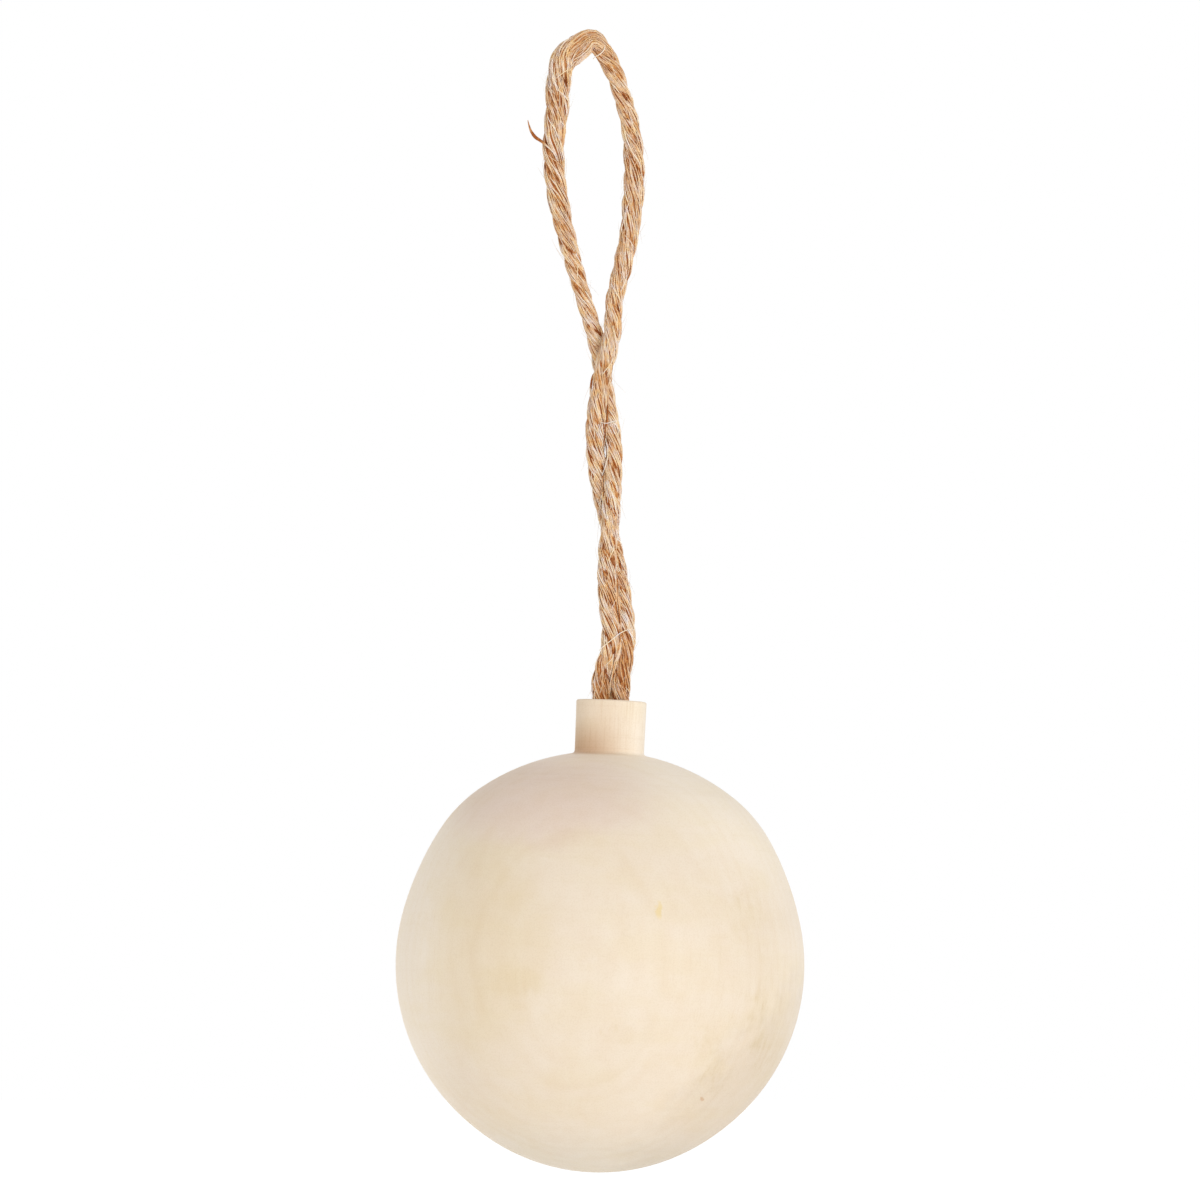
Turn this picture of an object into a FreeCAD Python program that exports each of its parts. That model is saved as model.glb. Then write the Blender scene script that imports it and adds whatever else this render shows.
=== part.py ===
import FreeCAD
import Part
import math
import os

# A turned wooden bauble that hangs on a loop of jute twine.
#
# Millimetres. +Z is up as the bauble hangs, and -Y is its front. The origin is
# the point where a hook touches the inside of the loop. The wood is drawn in a
# frame of its own, with Z along the lathe axis and its origin in the middle of
# the neck's rim, and is then hung below the loop.

# ---- ball ------------------------------------------------------------------
# The outline is a true ball round the belly, with a full shoulder and crown
# above it and a slightly drawn underside. Angles are latitudes from the belly.
ball_d = 80.0             # across the belly
crown_rise = 1.9          # the crown stands this far out of a true ball
shoulder_from_deg = 14.0  # the flatter flank below the shoulder begins here
shoulder_turn_deg = 30.0  # the flank gives way to the rounder shoulder here
shoulder_to_deg = 54.0    # the shoulder ends in the crown here
tip_drop = 0.45           # the lowest point stands this far out of a true ball
tip_from_deg = 45.0       # below the belly, the flatter underside begins here
tip_turn_deg = 60.0       # the underside gives way to the rounder tip here

# ---- neck ------------------------------------------------------------------
neck_foot_d = 13.6        # where the neck stands on the crown
neck_rim_d = 13.8         # at the rim: the neck widens a little upwards
neck_h = 10.5             # from the crown to the rim
neck_fillet_r = 0.6       # hollow left by the tool at the neck's foot
rim_chamfer = 0.25        # sandpapered outer edge of the rim

# ---- twine and its hole ----------------------------------------------------
twine_d = 3.5             # three-ply jute
leg_gap = 0.2             # between the twine's two ends, side by side in the hole
bore_play = 0.4           # from the twine to the wall of the hole
bore_depth = 12.0         # blind hole, flat at the bottom
leg_free_depth = 4.0      # below the rim, where the twine's ends start to bend
bore_chamfer = 0.3        # broken edge of the hole's mouth

# ---- how it hangs ----------------------------------------------------------
rim_drop = 127.5          # height of the hook above the middle of the rim
rim_shift = 4.6           # the rim's middle lies this far to the right of the hook
ball_lean_deg = 2.5       # the neck leans to the right by this much

bore_d = 2 * twine_d + leg_gap + 2 * bore_play
leg_offset = (twine_d + leg_gap) / 2

# The twine's route where it hangs free, from the left leg round to the right.
# The legs make one turn round each other below the arch: the right leg passes
# in front at a height of -61, and the left leg in front at -92.
LOOP_ROUTE = [
    (2.5, -0.4, -122.6),
    (4.7, -0.9, -115.8),
    (3.0, -0.9, -106.5),
    (3.4, -1.9, -96.9),
    (4.8, -1.9, -86.9),
    (5.4, 0.1, -76.2),
    (3.4, 1.9, -66.5),
    (2.3, 2.0, -58.3),
    (-0.7, 0.3, -48.9),
    (-3.4, -0.4, -39.5),
    (-5.8, 0.5, -30.1),
    (-7.1, -0.4, -19.1),
    (-6.4, -0.2, -10.5),
    (-5.4, 0.3, -3.0),
    (-2.3, 0.2, 2.2),
    (2.8, 0.0, 2.0),
    (6.2, -0.3, -6.3),
    (9.0, 0.3, -17.1),
    (9.0, 0.3, -26.9),
    (8.0, -0.5, -37.9),
    (5.1, 0.0, -47.7),
    (4.9, -1.5, -55.6),
    (2.4, -2.2, -64.2),
    (0.9, -0.5, -74.8),
    (2.5, 1.9, -85.4),
    (4.7, 2.0, -95.2),
    (6.8, 0.9, -106.2),
    (8.0, 0.8, -116.0),
    (6.3, 0.4, -122.6),
]
ARC_SHARE = 0.45          # an arc takes this share of the shorter run beside it


def outward(latitude):
    """The direction out of the ball's middle at a latitude in degrees."""
    angle = math.radians(latitude)
    return FreeCAD.Vector(math.cos(angle), 0, math.sin(angle))


def arc_about(centre, radius, from_deg, to_deg):
    """An arc of the half outline about a centre, between two latitudes."""
    ends = [centre + outward(degrees) * radius for degrees in (from_deg, to_deg)]
    middle = centre + outward((from_deg + to_deg) / 2) * radius
    return Part.Arc(ends[0], middle, ends[1]).toShape()


def easing_arcs(from_deg, from_r, turn_deg, to_deg, to_r):
    """Two tangent arcs that lead the outline from one distance out to another.

    They meet where the outline faces turn_deg, and leave and arrive square to
    the ball's radius. Their radii solve two equations, one for X and one for Z.
    """
    start = outward(from_deg) * from_r
    end = outward(to_deg) * to_r
    span = end - start
    first = outward(turn_deg) - outward(from_deg)
    second = outward(to_deg) - outward(turn_deg)
    scale = first.x * second.z - first.z * second.x
    first_r = (span.x * second.z - span.z * second.x) / scale
    second_r = (first.x * span.z - first.z * span.x) / scale
    return [
        arc_about(start - outward(from_deg) * first_r, first_r, from_deg, turn_deg),
        arc_about(end - outward(to_deg) * second_r, second_r, turn_deg, to_deg),
    ]


def ball_outline(foot_latitude):
    """The ball's half outline, from its lowest point up to the neck's foot."""
    middle = FreeCAD.Vector(0, 0, 0)
    belly_r = ball_d / 2
    crown_r = belly_r + crown_rise
    tip_r = belly_r + tip_drop
    underside = easing_arcs(-90, tip_r, -tip_turn_deg, -tip_from_deg, belly_r)
    belly = arc_about(middle, belly_r, -tip_from_deg, shoulder_from_deg)
    shoulder = easing_arcs(shoulder_from_deg, belly_r, shoulder_turn_deg, shoulder_to_deg, crown_r)
    crown = arc_about(middle, crown_r, shoulder_to_deg, foot_latitude)
    return underside + [belly] + shoulder + [crown]


def ring_edges(solid, radius, height):
    """The circular edges of a turned solid at one radius and height."""
    found = []
    for edge in solid.Edges:
        if edge.Degenerated or not isinstance(edge.Curve, Part.Circle):
            continue
        circle = edge.Curve
        if abs(circle.Radius - radius) < 0.01 and abs(circle.Center.z - height) < 0.01:
            found.append(edge)
    return found


def make_turned_ball():
    """Ball, neck and blind hole, turned from one blank, with the rim at height 0."""
    foot_r = neck_foot_d / 2
    rim_r = neck_rim_d / 2
    crown_r = ball_d / 2 + crown_rise
    foot_latitude = math.degrees(math.acos(foot_r / crown_r))
    middle_to_foot = math.sqrt(crown_r ** 2 - foot_r ** 2)
    middle_z = -neck_h - middle_to_foot

    corners = [
        FreeCAD.Vector(foot_r, 0, -neck_h),
        FreeCAD.Vector(rim_r, 0, 0),
        FreeCAD.Vector(bore_d / 2, 0, 0),
        FreeCAD.Vector(bore_d / 2, 0, -bore_depth),
        FreeCAD.Vector(0, 0, -bore_depth),
        FreeCAD.Vector(0, 0, middle_z - ball_d / 2 - tip_drop),
    ]
    edges = ball_outline(foot_latitude)
    for edge in edges:
        edge.translate(FreeCAD.Vector(0, 0, middle_z))
    for start, end in zip(corners, corners[1:]):
        edges.append(Part.LineSegment(start, end).toShape())
    half_section = Part.Face(Part.Wire(edges))
    wood = half_section.revolve(FreeCAD.Vector(0, 0, 0), FreeCAD.Vector(0, 0, 1), 360)
    wood = wood.makeFillet(neck_fillet_r, ring_edges(wood, foot_r, -neck_h))
    wood = wood.makeChamfer(rim_chamfer, ring_edges(wood, rim_r, 0))
    wood = wood.makeChamfer(bore_chamfer, ring_edges(wood, bore_d / 2, 0))
    return wood.Solids[0]


def rounded_path(points):
    """Straight runs joined by tangent arcs, and the radius of each arc."""
    edges = []
    radii = []
    run_start = points[0]
    for before, corner, after in zip(points, points[1:], points[2:]):
        back = before - corner
        ahead = after - corner
        inset = ARC_SHARE * min(back.Length, ahead.Length)
        half_turn = (math.pi - back.getAngle(ahead)) / 2
        radii.append(inset / math.tan(half_turn))
        back.normalize()
        ahead.normalize()
        arc_start = corner + back * inset
        arc_end = corner + ahead * inset
        to_middle = back + ahead
        to_middle.normalize()
        sagitta = radii[-1] / math.cos(half_turn) - radii[-1]
        arc_middle = corner + to_middle * sagitta
        edges.append(Part.LineSegment(run_start, arc_start).toShape())
        edges.append(Part.Arc(arc_start, arc_middle, arc_end).toShape())
        run_start = arc_end
    edges.append(Part.LineSegment(run_start, points[-1]).toShape())
    return Part.Wire(edges), radii


def seated_end(hang, side):
    """Two points of one end of the twine: on the hole's floor, and where it bends free."""
    offset = side * leg_offset
    on_floor = FreeCAD.Vector(offset, 0, -bore_depth)
    at_bend = FreeCAD.Vector(offset, 0, -leg_free_depth)
    return hang.multVec(on_floor), hang.multVec(at_bend)


def make_twine_loop(hang):
    """One length of twine, doubled into a loop, with both ends on the hole's floor."""
    left_floor, left_bend = seated_end(hang, -1)
    right_floor, right_bend = seated_end(hang, 1)
    free = [FreeCAD.Vector(*point) for point in LOOP_ROUTE]
    points = [left_floor, left_bend] + free + [right_bend, right_floor]
    path, radii = rounded_path(points)
    start_direction = points[1] - points[0]
    section = Part.Wire(Part.Circle(points[0], start_direction, twine_d / 2).toShape())
    tube = path.makePipeShell([section], True, False)

    expected = math.pi * (twine_d / 2) ** 2 * path.Length
    print("twine length %.1f mm, arc radii %.1f to %.1f mm" % (path.Length, min(radii), max(radii)))
    print("arc radii:", " ".join("%.1f" % radius for radius in radii))
    print("tube volume / (section x length): %.4f" % (tube.Volume / expected))
    return tube.Solids[0] if tube.Solids else tube


hang = FreeCAD.Placement(
    FreeCAD.Vector(rim_shift, 0, -rim_drop),
    FreeCAD.Rotation(FreeCAD.Vector(0, 1, 0), ball_lean_deg),
)
pieces = {
    "turned_ball": make_turned_ball().transformed(hang.Matrix),
    "twine_loop": make_twine_loop(hang),
}

os.makedirs("parts", exist_ok=True)
for name, shape in pieces.items():
    box = shape.BoundBox
    print("%s: %s, %d solid, %.0f mm3, %.1f x %.1f x %.1f mm" % (
        name, "valid" if shape.isValid() else "NOT VALID", len(shape.Solids), shape.Volume,
        box.XLength, box.YLength, box.ZLength))
    shape.exportStep("parts/%s.step" % name)
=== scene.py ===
import math

import bpy
import numpy as np
from mathutils import Euler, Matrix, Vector


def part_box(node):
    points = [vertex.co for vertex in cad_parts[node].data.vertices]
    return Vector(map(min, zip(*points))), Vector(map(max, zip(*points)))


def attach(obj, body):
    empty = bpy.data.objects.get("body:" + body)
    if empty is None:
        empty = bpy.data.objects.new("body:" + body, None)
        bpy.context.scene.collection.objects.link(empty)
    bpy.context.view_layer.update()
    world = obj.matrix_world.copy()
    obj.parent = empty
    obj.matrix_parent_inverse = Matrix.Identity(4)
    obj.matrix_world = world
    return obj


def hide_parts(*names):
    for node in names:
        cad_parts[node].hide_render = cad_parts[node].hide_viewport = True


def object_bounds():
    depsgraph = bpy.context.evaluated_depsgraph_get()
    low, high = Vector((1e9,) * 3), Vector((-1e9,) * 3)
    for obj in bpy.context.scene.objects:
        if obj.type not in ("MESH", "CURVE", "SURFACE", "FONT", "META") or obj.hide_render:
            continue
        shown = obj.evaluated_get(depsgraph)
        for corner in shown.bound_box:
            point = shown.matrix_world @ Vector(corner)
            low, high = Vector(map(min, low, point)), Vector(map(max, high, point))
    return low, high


# A turned wooden bauble on a loop of jute twine. Metres, in the part's own
# frame: +Z is up, -Y is the front, and the origin is where a hook would touch
# the inside of the loop.

MM = 0.001
RANDOM_SEED = 20

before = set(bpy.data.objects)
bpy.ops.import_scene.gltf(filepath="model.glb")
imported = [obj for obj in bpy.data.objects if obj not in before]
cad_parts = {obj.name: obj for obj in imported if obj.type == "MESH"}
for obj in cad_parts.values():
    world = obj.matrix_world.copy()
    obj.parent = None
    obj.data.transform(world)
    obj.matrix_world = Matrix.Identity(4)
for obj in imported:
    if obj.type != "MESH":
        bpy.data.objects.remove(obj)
cad_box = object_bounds()
scene = bpy.context.scene
rng = np.random.default_rng(RANDOM_SEED)


def add_object(name, data):
    """An object of the scene that shows some data."""
    found = bpy.data.objects.new(name, data)
    scene.collection.objects.link(found)
    return found


# ---- camera ----
CAMERA_LENS = 214          # mm
SENSOR_WIDTH = 36          # mm
CAMERA_DISTANCE = 1.40
CAMERA_LOOKS_UP_DEG = 3.0
FRAMING_RISE = 0.25 * MM   # the picture's middle lies this far above the box's middle


def add_camera():
    """The camera, which looks a little upward at the middle of the part."""
    middle = (cad_box[0] + cad_box[1]) / 2
    aim = Vector((middle.x, 0, middle.z + FRAMING_RISE))
    tilt = math.radians(CAMERA_LOOKS_UP_DEG)
    toward_camera = Vector((0, -math.cos(tilt), -math.sin(tilt)))
    data = bpy.data.cameras.new("camera")
    data.lens = CAMERA_LENS
    data.sensor_width = SENSOR_WIDTH
    camera = add_object("camera", data)
    camera.location = aim + toward_camera * CAMERA_DISTANCE
    camera.rotation_euler = (-toward_camera).to_track_quat("-Z", "Y").to_euler()
    scene.camera = camera


add_camera()

# ---- the twine's route ----
# From the hole's floor up the left leg, over the hook and down the right leg.
# Each row is a point of the route and the twine's width there, in mm.
ROUTE = [
    (2.228, 0, -139.408, 3.5),
    (2.577, 0, -131.416, 3.5),
    (2.4, -0.4, -122.6, 3.5),
    (5, -0.7, -115.8, 3.7),
    (3.5, -0.6, -106.5, 3.7),
    (3.9, -1.6, -96.9, 3.6),
    (4.8, -1.9, -88.4, 3.3),
    (5.3, 0.1, -77.8, 3.3),
    (3.4, 1.9, -66.5, 3.3),
    (2.3, 2, -58.3, 3.3),
    (-0.7, 0.3, -48.9, 3.1),
    (-3.4, -0.4, -39.5, 3.4),
    (-5.8, 0.5, -30.1, 4.0),
    (-7.1, -0.4, -19.1, 4.3),
    (-6.2, -0.2, -12.6, 4.4),
    (-5.8, 0.2, -3.3, 5.0),
    (-3.7, 0.2, 1.1, 5.6),
    (2.7, 0, 1.5, 3.7),
    (6.3, -0.2, -6, 3.2),
    (9.2, 0.3, -17.9, 3.9),
    (9, 0.3, -26.9, 4.2),
    (8, -0.5, -37.9, 3.9),
    (5.1, 0, -47.7, 3.4),
    (4.9, -1.5, -55.6, 3.5),
    (2.4, -2.2, -64.2, 3.7),
    (1, -0.5, -76.5, 3.7),
    (2.5, 1.9, -86.8, 3.4),
    (4.7, 2, -95.2, 3.3),
    (6.6, 0.8, -106.2, 3.7),
    (7.8, 0.6, -116, 3.7),
    (6.1, 0.4, -122.6, 4.1),
    (6.274, 0, -131.577, 4.1),
    (5.925, 0, -139.569, 3.5),
]
SPLINE_STEPS = 24          # samples of the smooth curve between two route points
STRAND_STEP = 0.60 * MM    # length of one straight facet of a strand
SEARCH_REACH = 45          # facets searched to each side for a route point

# Over the hook the twine is creased, and stands up to a blunt point.
CREASE_RISE = 1.5 * MM
CREASE_LENGTH = 1.5 * MM
CREASE_SHIFT = 0.5 * MM    # from the highest point of the line, toward the right leg
CREASE_DIRECTION = np.array([0.27, 0, 1])


def spline_points(rows):
    """The points of the NURBS curve whose control points are at the route's points."""
    curve = bpy.data.curves.new("route", "CURVE")
    curve.dimensions = "3D"
    spline = curve.splines.new("NURBS")
    spline.points.add(len(rows) - 1)
    for point, row in zip(spline.points, rows):
        point.co = (*row[:3], 1)
    spline.order_u = 3
    spline.use_endpoint_u = True
    spline.resolution_u = SPLINE_STEPS
    carrier = add_object("route", curve)
    mesh = bpy.data.meshes.new_from_object(carrier)
    found = np.array([vertex.co for vertex in mesh.vertices], float)
    bpy.data.objects.remove(carrier)
    bpy.data.curves.remove(curve)
    bpy.data.meshes.remove(mesh)
    return found


def unit(vectors):
    """The same directions, each of length 1."""
    return vectors / np.linalg.norm(vectors, axis=-1, keepdims=True)


def at_angle(angle, first, second):
    """The direction at an angle from a first direction toward a second one."""
    return np.cos(angle)[..., None] * first + np.sin(angle)[..., None] * second


def rows_at(places, known, rows):
    """Rows of numbers at some places, from the rows at known places."""
    return np.stack([np.interp(places, known, column) for column in rows.T], axis=1)


def even_steps(points, step):
    """The same line with its points evenly spaced, and each one's distance along it."""
    run = np.concatenate([[0], np.cumsum(np.linalg.norm(np.diff(points, axis=0), axis=1))])
    at = np.linspace(0, run[-1], int(run[-1] / step) + 1)
    return rows_at(at, run, points), at


def carried_frame(points):
    """A tangent and two normals at each point, carried along the line without twisting."""
    tangents = unit(np.gradient(points, axis=0))
    normals = np.zeros_like(points)
    side = np.array([1.0, 0.0, 0.0])
    for index, direction in enumerate(tangents):
        side = side - direction * (side @ direction)
        side = side / np.linalg.norm(side)
        normals[index] = side
    return tangents, normals, np.cross(tangents, normals)


route = np.array(ROUTE) * MM
line, along = even_steps(spline_points(route), STRAND_STEP)
top = int(np.argmax(line[:, 2]))
past_top = along - along[top]
crease = CREASE_RISE * np.exp(-0.5 * ((past_top - CREASE_SHIFT) / CREASE_LENGTH) ** 2)
middle_line = line + crease[:, None] * unit(CREASE_DIRECTION)
tangent, normal, binormal = carried_frame(middle_line)

# ---- how the twine changes along its length ----
# Each pair is a place and the value there. A place is a height or a distance
# from the hook, in mm, and the left leg's distances are negative.
# The fibres are much browner in the neck's mouth, as painted shade where the twine goes into the hole, and
# a little browner over the hook.
PALENESS_AND_SHADE_BY_HEIGHT = [(-122.6, -0.20), (-115.8, 0.0), (-16, 0.0), (1, -0.04)]
# Browner and paler stretches: distance from the hook, half length, and change of tone.
TONE_STRETCHES = [(4.4, 1.8, -0.23), (43, 7, -0.06), (-9, 3, 0.06), (-37.5, 2.4, -0.09)]
# The hairs are rubbed off near the hook.
HAIRINESS_FROM_HOOK = [(0, 0.20), (6, 0.34), (14, 1.0)]
# The fibres are combed smooth over the hook, and rougher past the fold and further down.
CONTRAST_PAST_HOOK = [(-85, 1.15), (-60, 1.0), (-14, 1.0), (-6, 0.70), (0, 0.58),
                      (2, 0.65), (4, 1.05), (60, 1.0), (85, 1.15)]


def widths_along_line():
    """The twine's width at each point of the line, from the widths at the route's points."""
    nearest = []
    for index, row in enumerate(route):
        expected = index / (len(route) - 1) * (len(line) - 1)
        near = np.abs(np.arange(len(line)) - expected) < SEARCH_REACH
        gaps = np.where(near, np.linalg.norm(line - row[:3], axis=1), np.inf)
        nearest.append(int(np.argmin(gaps)))
    return np.interp(np.arange(len(line)), nearest, route[:, 3])


def value_at(places, pairs):
    """The value at each place, which changes evenly from one pair to the next."""
    known, values = zip(*pairs)
    return np.interp(places, known, values)


width = widths_along_line()
past_hook = past_top / MM
hairiness = value_at(np.abs(past_hook), HAIRINESS_FROM_HOOK)
contrast = value_at(past_hook, CONTRAST_PAST_HOOK)
paleness_and_shade = value_at(line[:, 2] / MM, PALENESS_AND_SHADE_BY_HEIGHT)
for middle_at, half_length, change in TONE_STRETCHES:
    paleness_and_shade = paleness_and_shade + change * np.exp(-0.5 * ((past_hook - middle_at) / half_length) ** 2)

# ---- strands ----
PLIES = 3
LAY_PER_WIDTH = 3.7        # length of one turn of a ply, in widths of the twine
PLY_SHARE = 0.36           # a ply's radius, as a share of the twine's width
CORE_SHARE = 0.86          # the solid heart of a ply, as a share of its radius
CORE_SIDES = 14
# The hearts are dark brown, as painted shade where they show between the strands.
CORE_SHADE_TONE = 0.02           # the heart's tone where the contrast is 1
COMBED_CORE_TONE = 0.60    # added to it where the contrast is 0
STRANDS_PER_PLY = 40
STRAND_SIDES = 4
STRAND_RADIUS = 0.115 * MM
STRAND_SIZES = (0.7, 1.3)  # thinnest and thickest, as shares of that radius
STRAND_REACH = 0.92        # from its ply's centre, as a share of the ply's radius
STRAND_TONE = 0.595        # on average: 0 is brown and 1 is pale
COUNTER_TWIST = 0.52       # 1 would keep a ply's outermost fibres parallel to the twine
STREAK_SHIFT = 37.0        # mm by which each strand's streaks are shifted from the last one's

# What wanders along the twine: by how much, and over what length in mm.
PLY_ANGLE_WANDER = [(0.16, 8)]
PLY_RADIUS_WANDER = [(0.06, 7)]
PLY_REACH_WANDER = [(0.15, 10)]
STRAND_ANGLE_WANDER = [(0.26, 5), (0.12, 2.2)]
STRAND_RADIUS_WANDER = [(0.35, 3)]
STRAND_DEPTH_WANDER = [(0.07, 4), (0.05, 1.8)]
FURROW_SHADE_WANDER = [(0.55, 4)]
PLY_TONE_WANDER = [(0.17, 4)]
STRAND_TONE_WANDER = [(0.18, 5), (0.14, 1.8)]

# Painted shade: fibres down in the furrow between two plies are browner,
# in some places more than in others. Depths are shares of the twine's own half width.
FURROW_FROM = 0.88         # the furrow begins this far out
FURROW_FADE = 0.06         # and is at its brownest this much further in
FURROW_SHADE_LEVEL = 0.45        # how brown it is on average
FURROW_SHADE_TONE = 0.55         # change of tone in a full furrow
OWN_TONE = 0.10            # change of tone from one strand to the next


def wander(strands, parts):
    """A smooth random value along each strand, the sum of parts that wander by their own amounts."""
    rows = np.arange(strands)[:, None]
    total = 0
    for most, length in parts:
        knots = int(along[-1] / (length * MM)) + 3
        values = rng.uniform(-1, 1, (strands, knots))
        place = along / (length * MM) + rng.uniform(0, 1, (strands, 1))
        low = place.astype(int)
        share = place - low
        share = share * share * (3 - 2 * share)
        total = total + most * (values[rows, low] * (1 - share) + values[rows, low + 1] * share)
    return total


def tube_corners(centres, radii, sides, reference):
    """The corners of tubes round lines of centres: strands x points x sides x 3."""
    direction = unit(np.gradient(centres, axis=1))
    first = unit(reference - direction * np.sum(reference * direction, axis=2, keepdims=True))
    second = np.cross(direction, first)
    outward = at_angle(np.arange(sides) * (2 * math.pi / sides), first[:, :, None], second[:, :, None])
    return centres[:, :, None] + radii[:, :, None, None] * outward


def tube_faces(strands, points, sides):
    """The faces of closed tubes: those round the tubes, then those over their two ends."""
    base = (np.arange(strands) * points * sides)[:, None, None]
    ring = (np.arange(points - 1) * sides)[None, :, None]
    corner = np.arange(sides)[None, None, :]
    here = base + ring + corner
    beside = base + ring + (corner + 1) % sides
    walls = np.stack([here, beside, beside + sides, here + sides], axis=-1).reshape(-1, 4)
    firsts = range(0, strands * points * sides, points * sides)
    lasts = range((points - 1) * sides, strands * points * sides, points * sides)
    starts = [list(range(first + sides - 1, first - 1, -1)) for first in firsts]
    ends = [list(range(last, last + sides)) for last in lasts]
    return walls.tolist() + starts + ends


def set_values(mesh, name, values, sides):
    """Give each corner its ring's value, under a name that the material reads."""
    attribute = mesh.attributes.new(name, "FLOAT", "POINT")
    attribute.data.foreach_set("value", np.repeat(values.reshape(-1), sides).astype(np.float32))


def strand_mesh(name, centres, radii, tones, sides, reference):
    """One mesh of closed tubes. The first two sizes of each array are strands and points."""
    strands, points, _ = centres.shape
    corners = tube_corners(centres, radii, sides, reference).reshape(-1, 3)
    mesh = bpy.data.meshes.new(name)
    mesh.from_pydata(corners.tolist(), [], tube_faces(strands, points, sides))
    facets = np.linalg.norm(np.diff(centres, axis=1), axis=2)
    run = np.concatenate([np.zeros((strands, 1)), np.cumsum(facets, axis=1)], axis=1) / MM
    set_values(mesh, "tone", tones, sides)
    set_values(mesh, "run", run + STREAK_SHIFT * np.arange(strands)[:, None], sides)
    mesh.polygons.foreach_set("use_smooth", [True] * len(mesh.polygons))
    return add_object(name, mesh)


def around(angle, span=slice(None)):
    """The direction out of the twine's middle line at an angle, for each point of the line."""
    return at_angle(angle, normal[span], binormal[span])


def ply_course(number):
    """One ply as it winds round the twine: its centre, two directions across it and its radius."""
    azimuth = ply_turn + 2 * math.pi * number / PLIES + wander(1, PLY_ANGLE_WANDER)[0]
    outward = around(azimuth)
    sideways = around(azimuth + math.pi / 2)
    radius = ply_radius * (1 + wander(1, PLY_RADIUS_WANDER)[0])
    reach = ply_reach * (1 + wander(1, PLY_REACH_WANDER)[0])
    centre = middle_line + outward * reach[:, None]
    return centre, outward, sideways, radius


def strand_tones(centres, depth):
    """The tones along a ply's strands, with painted shade on the deeper strands and down in the furrows
    between plies.
    """
    proud = np.linalg.norm(centres - middle_line, axis=2) / (width / 2)
    furrow = np.clip((FURROW_FROM - proud) / FURROW_FADE, 0, 1)
    furrow = furrow * (FURROW_SHADE_LEVEL + wander(1, FURROW_SHADE_WANDER)[0])
    # painted shade: deeper strands and strands down in a furrow are browner
    variation = (depth - FURROW_SHADE_TONE * furrow
                 + OWN_TONE * rng.uniform(-1, 1, (STRANDS_PER_PLY, 1))
                 + wander(1, PLY_TONE_WANDER)
                 + wander(STRANDS_PER_PLY, STRAND_TONE_WANDER))
    return STRAND_TONE + paleness_and_shade + contrast * variation


def add_ply(number, course):
    """The strands on the surface of one ply."""
    centre, outward, sideways, radius = course
    start = np.arange(STRANDS_PER_PLY) * (2 * math.pi / STRANDS_PER_PLY)
    angle = start[:, None] + own_twist + wander(STRANDS_PER_PLY, STRAND_ANGLE_WANDER)
    size = rng.uniform(*STRAND_SIZES, (STRANDS_PER_PLY, 1))
    thickness = STRAND_RADIUS * size * (1 + wander(STRANDS_PER_PLY, STRAND_RADIUS_WANDER))
    depth = wander(STRANDS_PER_PLY, STRAND_DEPTH_WANDER)
    direction = at_angle(angle, outward, sideways)
    centres = centre + direction * (radius * (STRAND_REACH + depth))[..., None]
    tones = strand_tones(centres, depth)
    return strand_mesh("jute_ply_%d" % (number + 1), centres, thickness, tones, STRAND_SIDES, direction)


def add_core():
    """The solid hearts of the plies, dark brown as painted shade where they show between the strands, and
    paler where the fibres are combed.
    """
    centres, outward, _, radii = (np.stack(values) for values in zip(*plies))
    tones = np.tile(COMBED_CORE_TONE * (1 - contrast) + CORE_SHADE_TONE, (PLIES, 1))
    return strand_mesh("jute_core", centres, radii * CORE_SHARE, tones, CORE_SIDES, outward)


# the plies turn as an S-lay, and one of them crosses the outside of the fold
turns = np.diff(along) / (LAY_PER_WIDTH * (width[1:] + width[:-1]) / 2)
turned = np.concatenate([[0], np.cumsum(turns)])
turned = (turned - turned[top]) * 2 * math.pi
own_twist = COUNTER_TWIST * turned * (0.5 / PLY_SHARE)
ply_turn = math.atan2(binormal[top][2], normal[top][2]) - turned
ply_radius = width * PLY_SHARE
ply_reach = width / 2 - ply_radius

plies = []
twine_pieces = []
for ply in range(PLIES):
    plies.append(ply_course(ply))
    twine_pieces.append(add_ply(ply, plies[ply]))
twine_core = add_core()

# ---- loose fibres over the plies ----
# Of each kind: how many, their lengths and widths in mm, how far they stand off at most
# in mm, how much they slant, and their tones.
LONG = (90, (8, 22), (0.12, 0.22), 0.03, 0.10, (0.45, 0.85))
SHORT = (380, (2.5, 7), (0.10, 0.20), 0.05, 0.30, (0.40, 0.95))
MATTED = (110, (1.6, 4.5), (0.12, 0.24), 0.03, 0.55, (0.30, 0.80))
PROUD = (100, (1.5, 6), (0.14, 0.26), 0.15, 0.45, (0.85, 1.05))
LYING = (900, (2.5, 7), (0.12, 0.22), 0.05, 0.22, (0.35, 0.85))
# The rest have only a number, lengths, widths and tones.
# The fibres in the furrows are dark, as painted shade where the plies gape.
SHADE_FIBRES_IN_FURROWS = (260, (0.9, 3.4), (0.24, 0.56), (-0.28, 0.18))
IN_CREVICE = (130, (2.0, 6.5), (0.18, 0.36), (0.0, 0.75))
HAIRS = (420, (1.2, 4.5), (0.05, 0.09), (0.5, 1.1))

MATTED_OVER = (-13, 9)     # mm past the hook, between which the matted fibres lie
END_MARGIN = 4             # steps of the line, at each end of it
FEWEST_POINTS = 6          # along a fibre
END_SHAPE = 0.35           # a fibre's ends are blunter the smaller this is
TIP_WIDTH = 0.3            # a fibre's ends, as a share of its width
BLUNT_TIP_WIDTH = 0.35     # the same for the fibres between plies and legs
MIDDLE_TONE = 0.6          # contrast makes tones lie nearer to this one, or further off
TONE_RIPPLE = 0.10         # change of tone along one fibre
SLANT_LENGTH = 2 * MM      # a fibre turns aside by its slant, in radians, over this length
PHASES = (0, 6)            # a wave along a fibre starts anywhere in its turn, in radians

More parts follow.
